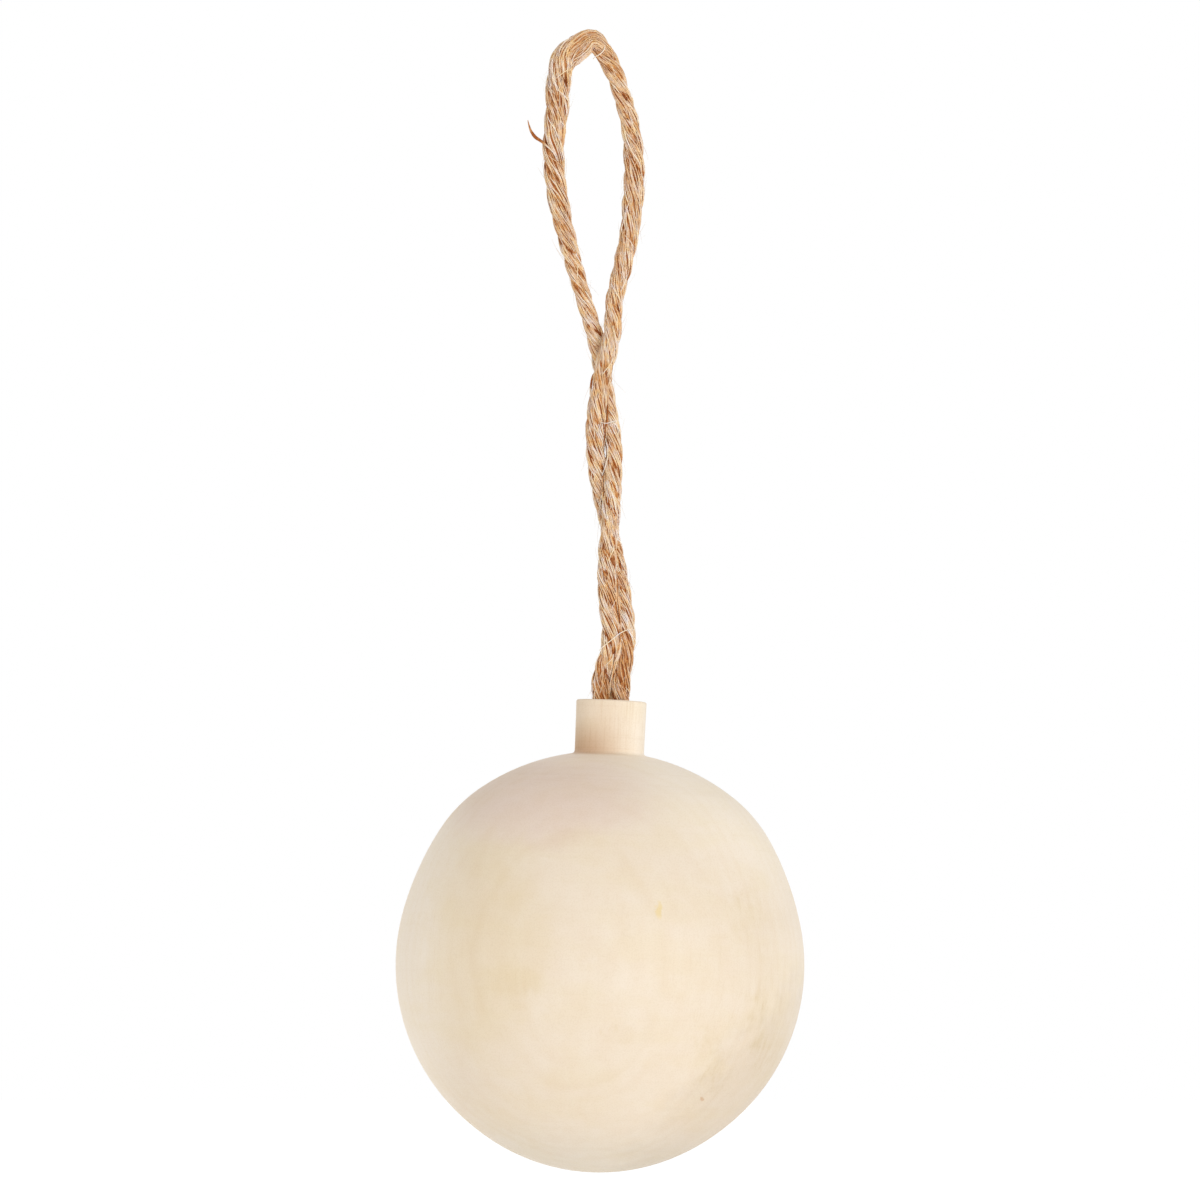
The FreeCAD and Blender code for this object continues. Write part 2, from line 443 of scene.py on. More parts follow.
# fibres on one ply
OUTER_SIDE = 2.0           # radians to each side of the ply's outermost line
PLY_SWING = (0.35, (1, 3))  # at most, in radians, and over what lengths in mm
PLY_RIPPLE_LENGTH = 1.3 * MM
PLY_TUCK = 0.18            # depth of their tucked ends, as a share of the ply's radius
PLY_BED = 0.99             # where they lie, as a share of the ply's radius
SHADE_FROM = 0.87          # they are browner further in than this share of the half width
SHADE_DEPTH = 0.15
SHADE_TONE = 2.0           # change of tone for a depth of 1

# fibres across the plies
UNWINDING = (-0.1, 0.8)    # the share of the plies' winding that they don't follow
SURFACE_SWING = (0.4, (2, 6))
SURFACE_RIPPLE_LENGTH = 1.5 * MM
SURFACE_TUCK = 0.22 * MM
LIFT_SHARES = (0.2, 1.0)   # of the most that they stand off
BRIDGING = 0.75            # 1 follows the plies' surface, and 0 runs straight over the furrows

# dark fibres in the furrows, as painted shade
FURROW_GROUPS = 60
GROUP_SPREAD = 4           # steps of the line
FEWEST_FURROW_POINTS = 4
FURROW_SPREAD = 0.22       # radians to each side of the furrow
FURROW_SLACK = (0, 0.5)    # the share of the plies' winding by which they drift
FURROW_SINK = 0.35         # as a share of their own radius
FURROW_TUCK = 0.1 * MM


def surface_reach(angle, span):
    """How far the plies' surface stands from the middle line at an angle."""
    direction = around(angle, span)
    found = np.zeros(len(angle))
    for centre, _, _, radius in plies:
        offset = centre[span] - middle_line[span]
        ahead = np.sum(offset * direction, axis=1)
        beside = np.sum(offset * offset, axis=1) - ahead ** 2
        found = np.maximum(found, ahead + np.sqrt(np.clip(radius[span] ** 2 - beside, 0, None)))
    return found


def raised_middle(points):
    """1 along a fibre's middle and 0 where its two ends are tucked in."""
    return np.clip(np.sin(math.pi * np.linspace(0, 1, points)), 0, 1) ** END_SHAPE


def tapered(widths, tip, raised):
    """A random fibre's radius along it, which is thinner at its ends."""
    return rng.uniform(*widths) * MM / 2 * (tip + (1 - tip) * raised)


def toned(tone, span):
    """A fibre's tone, after the contrast and the twine's own tone where it lies, with its painted shade in
    the neck's mouth.
    """
    return MIDDLE_TONE + contrast[span] * (tone - MIDDLE_TONE) + paleness_and_shade[span]


def swing(own, most, lengths):
    """A random angle that swings from side to side along a fibre."""
    return rng.uniform(0, most) * np.sin(own / (rng.uniform(*lengths) * MM) + rng.uniform(*PHASES))


def random_stretch(lengths, margin, over=None):
    """A random stretch of the line, and the distance of its points from its start.

    It keeps clear of the line's ends by a margin, or lies over a range of
    distances past the hook.
    """
    length = rng.uniform(*lengths) * MM
    points = max(FEWEST_POINTS, int(length / STRAND_STEP))
    first = int(rng.uniform(margin, len(line) - points - margin - 1))
    if over is not None:
        first = top - points // 2 + int(rng.uniform(*over) * MM / STRAND_STEP)
    span = slice(first, first + points)
    return span, along[span] - along[first]


def ply_fibres(count, lengths, widths, lift, slant, tones):
    """Fibres that lie on one ply, near its own fibres' direction, with their ends tucked in."""
    found = []
    for _ in range(count):
        centre, outward, sideways, radius = plies[int(rng.integers(PLIES))]
        span, own = random_stretch(lengths, END_MARGIN)
        angle = (rng.uniform(-OUTER_SIDE, OUTER_SIDE) + own_twist[span] - own_twist[span.start]
                 + rng.normal(0, slant) * own / SLANT_LENGTH + swing(own, *PLY_SWING))
        raised = raised_middle(len(own))
        direction = at_angle(angle, outward[span], sideways[span])
        surface = radius[span] * (PLY_BED - PLY_TUCK * (1 - raised))
        reach = surface + lift * MM * raised * rng.uniform(0, 1)
        centres = centre[span] + direction * reach[:, None]
        thickness = tapered(widths, TIP_WIDTH, raised)
        proud = np.linalg.norm(centres - middle_line[span], axis=1) / (width[span] / 2)
        tone = rng.uniform(*tones) + TONE_RIPPLE * np.sin(own / PLY_RIPPLE_LENGTH + rng.uniform(*PHASES))
        shade = SHADE_TONE * np.clip(SHADE_FROM - proud, 0, SHADE_DEPTH)
        found.append((centres, thickness, toned(tone - shade, span), direction))
    return found


def surface_fibres(count, lengths, widths, lift, slant, tones, over=None):
    """Fibres that bridge from ply to ply near the twine's own direction, with their ends tucked in."""
    found = []
    for _ in range(count):
        span, own = random_stretch(lengths, 2 * END_MARGIN, over)
        winding = turned[span] - turned[span.start]
        angle = (rng.uniform(0, 2 * math.pi) - rng.uniform(*UNWINDING) * winding
                 + rng.normal(0, slant) * own / SLANT_LENGTH + swing(own, *SURFACE_SWING))
        raised = raised_middle(len(own))
        surface = BRIDGING * surface_reach(angle, span) + (1 - BRIDGING) * width[span] / 2
        lifted = lift * MM * raised * rng.uniform(*LIFT_SHARES)
        reach = surface - SURFACE_TUCK * (1 - raised) + lifted
        direction = around(angle, span)
        centres = middle_line[span] + direction * reach[:, None]
        thickness = tapered(widths, TIP_WIDTH, raised)
        tone = rng.uniform(*tones) + TONE_RIPPLE * np.sin(own / SURFACE_RIPPLE_LENGTH)
        found.append((centres, thickness, toned(tone, span), direction))
    return found


def furrow_shade_fibres(count, lengths, widths, tones):
    """Short brown fibres, painted shade where the furrow between two plies gapes, in loose groups."""
    groups = rng.uniform(END_MARGIN, len(line) - 3 * END_MARGIN, FURROW_GROUPS)
    found = []
    for _ in range(count):
        length = rng.uniform(*lengths) * MM
        points = max(FEWEST_FURROW_POINTS, int(length / STRAND_STEP) + 1)
        near = rng.choice(groups) + rng.normal(0, GROUP_SPREAD)
        first = int(np.clip(near, END_MARGIN, len(line) - points - END_MARGIN - 1))
        span = slice(first, first + points)
        furrow_angle = ply_turn[span] + math.pi / PLIES + 2 * math.pi / PLIES * rng.integers(PLIES)
        slack = rng.uniform(*FURROW_SLACK) * (turned[span] - turned[first])
        angle = furrow_angle + rng.normal(0, FURROW_SPREAD) + slack
        raised = raised_middle(points)
        thickness = tapered(widths, BLUNT_TIP_WIDTH, raised)
        direction = around(angle, span)
        reach = surface_reach(angle, span) - FURROW_SINK * thickness - FURROW_TUCK * (1 - raised)
        centres = middle_line[span] + direction * reach[:, None]
        found.append((centres, thickness, np.full(points, rng.uniform(*tones)), direction))
    return found


def joined_strands(name, strands, sides):
    """One mesh of tubes of different lengths, all brought to the longest one's number of points."""
    most = max(len(centres) for centres, _, _, _ in strands)
    evened = []
    for strand in strands:
        rows = np.column_stack(strand)
        own = np.arange(len(rows))
        evened.append(rows_at(np.linspace(0, own[-1], most), own, rows))
    centres, radii, tones, reference = np.split(np.stack(evened), [3, 4, 5], axis=2)
    return strand_mesh(name, centres, radii[..., 0], tones[..., 0], sides, reference)


# the random draws follow the order of these lines
loose_fibres = {
    "long": surface_fibres(*LONG),
    "short": surface_fibres(*SHORT),
    "matted": surface_fibres(*MATTED, over=MATTED_OVER),
    "proud": surface_fibres(*PROUD),
    "lying": ply_fibres(*LYING),
    "furrow": furrow_shade_fibres(*SHADE_FIBRES_IN_FURROWS),
}
for kind, sides in [("furrow", 6), ("long", 4), ("short", 4), ("matted", 4), ("proud", 5), ("lying", 4)]:
    twine_pieces.append(joined_strands("jute_%s_fibres" % kind, loose_fibres[kind], sides))

# ---- fibres between the two legs ----
UPWARD = np.array([0, 0, 1.0])
LEGS_TOUCH = (-0.1265, -0.060)  # heights between which the legs lie together
OPEN_GAP = (-0.0835, -0.0755)  # a small gap between the legs that stays open
WIDEST_CREVICE = 4.2 * MM  # between the legs' middle lines
IN_FRONT = 0.6             # share of these fibres that lie on the front
CREVICE_POINTS = 12
CREVICE_SLANT = 0.45       # mm, from one leg toward the other along a fibre
CREVICE_SHIFT = 0.25       # mm, from halfway between the legs
CREVICE_LIFT = (0.75, 1.30)  # mm, out of the plane of the two legs
CREVICE_TUCK = 0.35 * MM


def crevice_fibres(count, lengths, widths, tones):
    """Fibres matted into the crease between the two legs, where they lie against each other."""
    legs = (middle_line[:top][::-1], middle_line[top:])
    share = np.linspace(0, 1, CREVICE_POINTS)
    raised = raised_middle(CREVICE_POINTS)
    found = []
    while len(found) < count:
        low = rng.uniform(*LEGS_TOUCH)
        high = low + rng.uniform(*lengths) * MM
        side = -1 if rng.uniform() < IN_FRONT else 1
        slant = rng.uniform(-CREVICE_SLANT, CREVICE_SLANT) * MM
        lift = rng.uniform(*CREVICE_LIFT) * MM
        shift = rng.uniform(-CREVICE_SHIFT, CREVICE_SHIFT) * MM
        thickness = tapered(widths, BLUNT_TIP_WIDTH, raised)
        tone = np.full(CREVICE_POINTS, rng.uniform(*tones))
        heights = low + (high - low) * share
        on_left, on_right = (rows_at(-heights, -leg[:, 2], leg) for leg in legs)
        apart = np.linalg.norm(on_right - on_left, axis=1)
        if OPEN_GAP[0] < (low + high) / 2 < OPEN_GAP[1] or apart.max() > WIDEST_CREVICE:
            continue
        across = unit(on_right - on_left)
        out = unit(np.cross(across, UPWARD))
        out = out * np.where(out[:, 1:2] * side > 0, 1, -1)
        centres = ((on_left + on_right) / 2 + across * (shift + slant * (share - 0.5))[:, None]
                   + out * (lift - CREVICE_TUCK * (1 - raised))[:, None])
        found.append((centres, thickness, tone, out))
    return found


twine_pieces.append(joined_strands("jute_crevice_fibres", crevice_fibres(*IN_CREVICE), 5))

# ---- hairs and strays ----
HAIR_POINTS = 9
HAIR_ROOT = 0.15 * MM      # depth of a hair's root under the plies' surface
# What a hair does over its length, as shares of it: stand up, lean to a side and curl.
HAIR_RISE = (0.15, 0.55)
HAIR_LEAN = 0.6
HAIR_CURL = 0.5
HAIR_SAG = 0.45            # the share of its rise that it loses toward its tip
HAIR_TAPER = 0.7           # the share of its width that it loses toward its tip
STRAY_STEPS = 7            # from one row of a stray to the next
STRAY_REFERENCE = (0.2, 0.3, 0.93)  # any direction that no stray runs along

# Strays that show by themselves. Each row is a point and its width, in mm, and its tone.
STRAYS = {
    "curl": [
        (-11.88, -0.4, -13.1, 0.14, 0.22), (-11.64, -0.5, -14.1, 0.34, 0.16),
        (-11.22, -0.6, -15.3, 0.54, 0.14), (-10.4, -0.8, -16.5, 0.72, 0.02),
        (-9.4, -0.9, -17.2, 0.62, 0.10), (-8.7, -1.4, -17.8, 0.46, 0.35),
        (-7.8, -2.2, -18.7, 0.30, 0.90), (-6.7, -2.4, -19.9, 0.24, 0.90),
        (-6, -2.2, -21.4, 0.12, 0.80)],
    "across": [
        (2.2, -2.3, -117.7, 0.12, 0.95), (3.2, -2.8, -116.8, 0.18, 1.05),
        (4.7, -2.9, -115.6, 0.18, 1.05), (6.2, -2.5, -114.4, 0.18, 1.05),
        (7.6, -1.8, -113.7, 0.16, 1.00), (9.3, -0.8, -113.5, 0.10, 1.00)],
    "gap": [
        (3.4, -1.8, -76, 0.12, 0.95), (3.9, -1.4, -78.5, 0.20, 1.05),
        (3.6, -1.4, -80.8, 0.20, 1.05), (2.8, -2, -83.2, 0.12, 0.95)],
    "fold": [
        (1, -1.3, -1.1, 0.12, 0.95), (1.5, -2, -0.7, 0.18, 1.05),
        (2.3, -2.2, -0.3, 0.20, 1.05), (3, -2.2, 0.4, 0.20, 1.05),
        (3.3, -2, 1.1, 0.18, 1.05), (3.2, -1.5, 1.8, 0.12, 0.95)],
    "bridge": [
        (2.4, -2.4, -72.9, 0.10, 0.95), (3.6, -2.4, -73.1, 0.15, 1.05),
        (5, -2, -72.7, 0.15, 1.05), (5.8, -1.4, -72.5, 0.10, 0.95)],
}


def hairs(count, lengths, widths, tones):
    """Fine hairs that stand a little off the twine and taper to their tips."""
    share = np.linspace(0, 1, HAIR_POINTS)
    found = []
    for _ in range(count):
        at = int(rng.uniform(3 * END_MARGIN, len(line) - 3 * END_MARGIN - 2))
        here = slice(at, at + 1)
        angle = np.array([rng.uniform(0, 2 * math.pi)])
        out = around(angle, here)[0]
        aside = np.cross(tangent[at], out)
        root = middle_line[at] + out * (surface_reach(angle, here)[0] - HAIR_ROOT)
        length = rng.uniform(*lengths) * MM * hairiness[at]
        ahead = rng.choice([-1, 1])
        rise = rng.uniform(*HAIR_RISE)
        lean = rng.uniform(-HAIR_LEAN, HAIR_LEAN)
        curl = rng.uniform(-HAIR_CURL, HAIR_CURL)
        centres = (root
                   + tangent[at] * (ahead * length * share)[:, None]
                   + out * (length * rise * share * (1 - HAIR_SAG * share))[:, None]
                   + aside * (length * (lean * share + curl * share ** 2))[:, None])
        radius = rng.uniform(*widths) * MM / 2 * (1 - HAIR_TAPER * share)
        tone = np.full(HAIR_POINTS, rng.uniform(*tones))
        found.append((centres, radius, tone, np.tile(aside, (HAIR_POINTS, 1))))
    return found


def smooth_rows(rows):
    """A smooth curve through rows of numbers."""
    rows = np.array(rows)
    padded = np.concatenate([[2 * rows[0] - rows[1]], rows, [2 * rows[-1] - rows[-2]]])
    found = []
    for before, start, end, after in zip(padded, padded[1:], padded[2:], padded[3:]):
        for share in np.arange(STRAY_STEPS) / STRAY_STEPS:
            found.append(0.5 * (2 * start + (end - before) * share
                                + (2 * before - 5 * start + 4 * end - after) * share ** 2
                                + (3 * start - before - 3 * end + after) * share ** 3))
    found.append(rows[-1])
    return np.array(found)


def stray(rows):
    """One fibre from listed points."""
    smooth = smooth_rows(rows)
    reference = np.tile(STRAY_REFERENCE, (len(smooth), 1))
    return smooth[:, :3] * MM, smooth[:, 3] * MM / 2, smooth[:, 4], reference


strays = [stray(rows) for rows in STRAYS.values()]
twine_pieces.append(joined_strands("jute_hairs", hairs(*HAIRS), 3))
twine_pieces.append(joined_strands("jute_strays", strays, 6))


# ---- node trees ----
def srgb(red, green, blue):
    """An sRGB colour, 0 to 255, as the linear colour that the shader takes."""
    linear = []
    for level in (red, green, blue):
        share = level / 255
        linear.append(share / 12.92 if share <= 0.04045 else ((share + 0.055) / 1.055) ** 2.4)
    return (*linear, 1)


def grey(level):
    """A linear grey."""
    return (level, level, level, 1)


class Nodes:
    """A short way to write the node tree of a material or a world."""

    def __init__(self, owner, output="ShaderNodeOutputMaterial"):
        self.owner = owner
        owner.use_nodes = True
        self.tree = owner.node_tree
        self.tree.nodes.clear()
        self.output = self.add(output)

    def feed(self, socket, value):
        """Link another node's output to a socket, or set the socket's value."""
        if isinstance(value, bpy.types.NodeSocket):
            self.tree.links.new(value, socket)
        else:
            socket.default_value = value

    def add(self, kind, **values):
        """A node with its settings and its inputs, which are named with _ for a space."""
        node = self.tree.nodes.new(kind)
        for key, value in values.items():
            if hasattr(node, key):
                setattr(node, key, value)
            else:
                name = key.replace("_", " ")
                self.feed(next(s for s in node.inputs if s.name == name and s.enabled), value)
        return node

    def add_in_order(self, kind, *values, **settings):
        """A node with its inputs in their own order."""
        node = self.add(kind, **settings)
        for socket, value in zip(node.inputs, values):
            self.feed(socket, value)
        return node

    def compute(self, operation, first, second=0.0, clamp=False):
        """The result of one operation on one value or two."""
        node = self.add_in_order("ShaderNodeMath", first, second, operation=operation, use_clamp=clamp)
        return node.outputs[0]

    def plus(self, first, second):
        return self.compute("ADD", first, second)

    def minus(self, first, second):
        return self.compute("SUBTRACT", first, second)

    def times(self, first, second):
        return self.compute("MULTIPLY", first, second)

    def larger(self, first, second):
        return self.compute("MAXIMUM", first, second)

    def smooth(self, value, low, high):
        """0 below low, 1 above high, and an even rise between them."""
        node = self.add_in_order("ShaderNodeMapRange", value, low, high, interpolation_type="SMOOTHSTEP")
        return node.outputs[0]

    def ramp(self, factor, stops):
        node = self.add_in_order("ShaderNodeValToRGB", factor)
        while len(node.color_ramp.elements) < len(stops):
            node.color_ramp.elements.new(0.5)
        for element, (place, colour) in zip(node.color_ramp.elements, stops):
            element.position = place
            element.color = colour
        return node.outputs[0]

    def mix(self, factor, colour, other, blend="MIX"):
        node = self.add("ShaderNodeMix", data_type="RGBA", blend_type=blend)
        for place, value in ((0, factor), (6, colour), (7, other)):
            self.feed(node.inputs[place], value)
        return node.outputs[2]

    def tinted(self, colour, strength, left):
        """A colour of which only a share of each primary is left, at full strength."""
        return self.mix(strength, colour, left + (1,), "MULTIPLY")

    def noise(self, vector, scale, detail, roughness):
        return self.add("ShaderNodeTexNoise", Vector=vector, Scale=scale, Detail=detail,
                        Roughness=roughness).outputs[0]

    def stretched(self, vector, scale, rotation=(0, 0, 0), location=(0, 0, 0)):
        return self.add("ShaderNodeMapping", Vector=vector, Scale=scale, Rotation=rotation,
                        Location=location).outputs[0]

    def surface(self, colour, roughness, specular, height, bump_strength, bump_distance):
        """End the tree in a surface with a fine bump, and return its material."""
        bump = self.add("ShaderNodeBump", Strength=bump_strength, Distance=bump_distance, Height=height)
        shader = self.add("ShaderNodeBsdfPrincipled", Base_Color=colour, Roughness=roughness,
                          Specular_IOR_Level=specular, Normal=bump.outputs[0])
        self.feed(self.output.inputs[0], shader.outputs[0])
        return self.owner

    def seen_or_lighting(self, seen, lighting):
        """End the tree in one shader for what the camera sees and another for the light it gives."""
        rays = self.add("ShaderNodeLightPath").outputs
        by_eye = self.larger(rays["Is Camera Ray"], rays["Is Glossy Ray"])
        by_eye = self.larger(by_eye, rays["Is Transmission Ray"])
        choice = self.add_in_order("ShaderNodeMixShader", by_eye, lighting.outputs[0], seen.outputs[0])
        self.feed(self.output.inputs[0], choice.outputs[0])


# ---- jute ----
JUTE_COLOURS = [
    (0.00, srgb(104, 44, 10)),
    (0.31, srgb(164, 92, 36)),
    (0.448, srgb(204, 142, 84)),
    (0.60, srgb(229, 187, 143)),
    (0.779, srgb(243, 216, 183)),
    (1.00, srgb(253, 240, 222)),
]
# What each primary is multiplied by, from the most orange fibres to the greyest.
JUTE_CASTS = [(0.0, (1.05, 0.96, 0.72, 1)), (0.5, (1, 1, 1, 1)), (1.0, (0.97, 1.0, 1.18, 1))]


def jute_material():
    """Jute, from brown to pale by each strand's tone, with streaks along the strands."""
    nodes = Nodes(bpy.data.materials.new("jute"))
    tone = nodes.add("ShaderNodeAttribute", attribute_name="tone").outputs["Fac"]
    run = nodes.add("ShaderNodeAttribute", attribute_name="run").outputs["Fac"]
    along_strand = nodes.add("ShaderNodeCombineXYZ", X=run).outputs[0]
    position = nodes.add("ShaderNodeTexCoord").outputs["Object"]
    streak = nodes.noise(along_strand, 0.8, 3.0, 0.6)
    fleck = nodes.noise(position, 2200.0, 2.0, 0.6)
    patch = nodes.noise(position, 260.0, 2.0, 0.5)
    for pattern, amount in [(streak, 0.8), (fleck, 0.4), (patch, 0.3)]:
        tone = nodes.plus(tone, nodes.times(nodes.minus(pattern, 0.5), amount))
    # tones from -0.45 to 1 fill the ramp
    colour = nodes.ramp(nodes.times(nodes.plus(tone, 0.45), 1 / 1.45), JUTE_COLOURS)
    # some fibres are more orange and some more grey, whatever their depth
    strand_place = nodes.stretched(along_strand, (0.35, 1, 1), location=(500, 0, 0))
    other_place = nodes.stretched(position, (1, 1, 1), location=(3, 0, 0))
    by_strand = nodes.minus(nodes.noise(strand_place, 1.0, 2.0, 0.5), 0.5)
    by_place = nodes.minus(nodes.noise(other_place, 620.0, 2.0, 0.6), 0.5)
    cast = nodes.plus(nodes.times(by_strand, 2.4), nodes.times(by_place, 2.4))
    cast = nodes.ramp(nodes.compute("ADD", cast, 0.5, clamp=True), JUTE_CASTS)
    colour = nodes.mix(1.0, colour, cast, "MULTIPLY")
    roughness = nodes.plus(0.55, nodes.times(fleck, 0.3))
    return nodes.surface(colour, roughness, specular=0.3, height=fleck, bump_strength=0.4,
                         bump_distance=0.05 * MM)


# ---- wood ----
# Places in the wood are in mm from the ball's middle, with Z along the lathe axis.
LATHE_LEAN_DEG = 2.5       # the lathe axis leans to the right by this much
PITH = (-23.4, -133.0)     # the tree's middle, across the lathe axis
RING_WIDTH = 3.1           # of one year's wood
RING_WAVER = 7.0           # how far the rings waver
BROAD_WAVER = (9.0, -7.0)  # how far the edges of broad zones waver, across and up
SMALL_WAVER = (1.8, -1.8)  # the same for small marks

WOOD_COLOURS = [(0.30, srgb(241, 224, 202)), (0.50, srgb(242, 226, 205)), (0.70, srgb(243, 228, 208))]
# the colour of the painted light and the painted sheen on the wood
PAINTED_LIGHT_WOOD = srgb(255, 242, 224)
# Patches of brown streaks: middle, half size, and strength.
STREAK_PATCHES = [
    ((29, 13), (5, 11), 0.22), ((22, -16), (4, 7), 0.24), ((24, -21), (4.5, 4.5), 0.26),
    ((-16, -3.5), (8, 3.5), 0.22), ((4, -12.7), (5, 2.2), 0.26), ((33, -10), (5, 16), 0.34),
]
# A resin fleck and a pin knot: middle, half size, strength and colour.
SMALL_MARKS = [
    ((10.7, 11.5), (0.9, 2.1), 0.46, srgb(239, 208, 110)),
    ((20.6, -24.3), (0.45, 0.45), 0.42, srgb(194, 130, 58)),
]

# the ball is taken to be as high as it is wide, above the wood's lowest point
wood_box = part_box("turned_ball")
ball_middle = (wood_box[0] + wood_box[1]) / 2
ball_middle.z = wood_box[0].z + (wood_box[1].x - wood_box[0].x) / 2


class WoodNodes(Nodes):
    """A node tree with the places, zones and patterns of the turned wood."""

    def __init__(self, owner):
        super().__init__(owner)
        lean = Euler((0, -math.radians(LATHE_LEAN_DEG), 0))
        shift = -(lean.to_matrix() @ ball_middle) / MM
        metres = self.add("ShaderNodeTexCoord").outputs["Object"]
        self.place = self.stretched(metres, (1 / MM,) * 3, rotation=tuple(lean), location=tuple(shift))
        self.x, self.y, self.z = self.add("ShaderNodeSeparateXYZ", Vector=self.place).outputs
        self.uneven = self.minus(self.noise(self.place, 0.20, 3.0, 0.6), 0.5)
        ragged = self.minus(self.noise(self.place, 0.8, 2.0, 0.6), 0.5)
        self.broad = self.wavering(self.uneven, BROAD_WAVER)
        self.small = self.wavering(ragged, SMALL_WAVER)
        self.front = self.smooth(self.times(self.y, -1.0), 0.0, 6.0)
        self.sides = self.smooth(self.from_plane(-6.0), 14.0, 32.0)
        self.neck = self.smooth(self.z, 41.2, 42.0)
        self.crown = self.minus(self.smooth(self.z, 31.0, 37.0), self.neck)
        self.fibre = self.pattern((2.4, 2.4, 0.085), 3.0, 0.65)
        self.coarse_fibre = self.pattern((0.85, 0.85, 0.05), 2.0, 0.6)
        self.turning = self.pattern((0.035, 0.035, 1.7), 3.0, 0.7)
        self.speck = self.noise(self.place, 3.6, 2.0, 0.6)

    def pattern(self, scale, detail, roughness):
        """Noise with its own scale, per mm, across and along the lathe axis."""
        return self.noise(self.stretched(self.place, scale), 1.0, detail, roughness)

    def wavering(self, noise, waver):
        """A point's place across and up, shifted by noise so that zones get uneven edges."""
        return [self.plus(value, self.times(noise, most)) for value, most in zip((self.x, self.z), waver)]

    def opposite(self, value):
        """0 where a value is 1, and 1 where it is 0."""
        return self.minus(1.0, value)

    def from_plane(self, x):
        """How far a point lies from an upright plane, to either side."""
        return self.compute("ABSOLUTE", self.minus(self.x, x))

    def side_of(self, across, up, low, high):
        """0 to 1 as a point goes up a slope that leans across and up."""
        x, z = self.broad
        return self.smooth(self.plus(self.times(x, across), self.times(z, up)), low, high)

    def oval(self, place, middle, half_size):
        """1 in the middle of an oval on the front, and 0 outside it."""
        squares = []
        for value, at, half in zip(place, middle, half_size):
            share = self.compute("DIVIDE", self.minus(value, at), half)
            squares.append(self.times(share, share))
        return self.times(self.opposite(self.smooth(self.plus(*squares), 0.0, 1.0)), self.front)

    def year_rings(self):
        """The late wood of each year, seen flat on at the front and edge on at the sides."""
        gentle = self.minus(self.pattern((0.06, 0.06, 0.035), 1.5, 0.4), 0.5)
        from_pith = (self.minus(self.x, PITH[0]), self.minus(self.y, PITH[1]))
        square = self.plus(*(self.times(value, value) for value in from_pith))
        out = self.plus(self.compute("SQRT", square), self.times(gentle, RING_WAVER))
        year = self.compute("DIVIDE", out, RING_WIDTH)
        late = self.ramp(self.compute("FRACT", year),
                         [(0.0, grey(0.3)), (0.35, grey(0)), (0.80, grey(1)), (1.0, grey(0.3))])
        years = self.add("ShaderNodeCombineXYZ", X=self.compute("FLOOR", year))
        good_year = self.smooth(self.noise(years.outputs[0], 0.83, 0.0, 0.5), 0.35, 0.65)
        return self.times(late, self.plus(0.25, self.times(good_year, 0.75)))


def ground_colour_and_painted_light(wood):
    """Pale wood with painted light that makes it palest at its upper right and round the neck, and a
    painted sheen that makes it palest on its two sides.
    """
    cloud = wood.pattern((0.30, 0.30, 0.14), 3.0, 0.5)
    # painted light: paler toward the upper right, on the neck's right, and on the ball's top just below
    # the neck
    lit_upper_right = wood.times(wood.side_of(0.6, 0.8, 24.0, 40.0), wood.opposite(wood.neck))
    # painted sheen: paler toward both sides, as a white reflection at the rims
    sheen_on_both_sides = wood.times(wood.smooth(wood.from_plane(3.0), 27.0, 39.0), 0.8)
    lit_neck_right = wood.times(wood.smooth(wood.x, 1.0, 6.0), wood.smooth(wood.z, 37.5, 41.0))
    lit_below_neck = wood.times(wood.smooth(wood.z, 37.0, 40.5),
                            wood.compute("SUBTRACT", 0.60, wood.neck, clamp=True))
    # pale gathers the painted light and the painted sheen
    pale = lit_upper_right
    for zone in (sheen_on_both_sides, lit_neck_right, lit_below_neck):
        pale = wood.larger(pale, zone)
    return wood.mix(pale, wood.ramp(cloud, WOOD_COLOURS), PAINTED_LIGHT_WOOD)


def stained_and_shaded(wood, colour):
    """The wood's broad stains and year rings, with painted shade at its lower right, its underside and the
    left of its crown, and a brown on the neck's lower left that is partly stain and partly painted shade.
    """
    warm_cloud = wood.smooth(wood.pattern((0.07, 0.07, 0.17), 3.0, 0.6), 0.38, 0.70)
    # painted shade: darker and greyer toward the lower right
    shaded_lower_right = wood.side_of(0.75, -0.66, 25.0, 34.0)
    left_of_middle = wood.oval(wood.broad, (-22, 3), (15, 27))
    # painted shade: a little darker and cooler underneath
    shaded_underside = wood.smooth(wood.times(wood.z, -1.0), 28.0, 38.0)
    # painted shade: a little darker to the left of the crown
    shaded_upper_left = wood.oval(wood.broad, (-13, 33), (26, 13))
    neck_left = wood.times(wood.opposite(wood.smooth(wood.x, -1.0, 7.0)), wood.neck)
    # the neck's lower left is brown: partly a stain, partly painted shade where the neck meets the ball
    neck_far_left = wood.times(wood.opposite(wood.smooth(wood.x, -5.0, 4.5)), wood.neck)
    neck_lower_left_stain_and_shade = wood.times(wood.opposite(wood.smooth(wood.z, 42.5, 50.0)), neck_far_left)
    rings = wood.times(wood.year_rings(), 0.24)
    for strength, left in [
        (warm_cloud, (0.988, 0.98, 0.934)),
        (shaded_lower_right, (0.91, 0.90, 0.89)),
        (left_of_middle, (0.975, 0.955, 0.885)),
        (shaded_underside, (0.94, 0.97, 1.0)),
        (shaded_upper_left, (0.955, 0.908, 0.95)),
        (neck_lower_left_stain_and_shade, (0.75, 0.62, 0.51)),
        (neck_left, (0.985, 0.95, 0.91)),
        (rings, (0.93, 0.89, 0.81)),
    ]:
        colour = wood.tinted(colour, strength, left)
    return colour


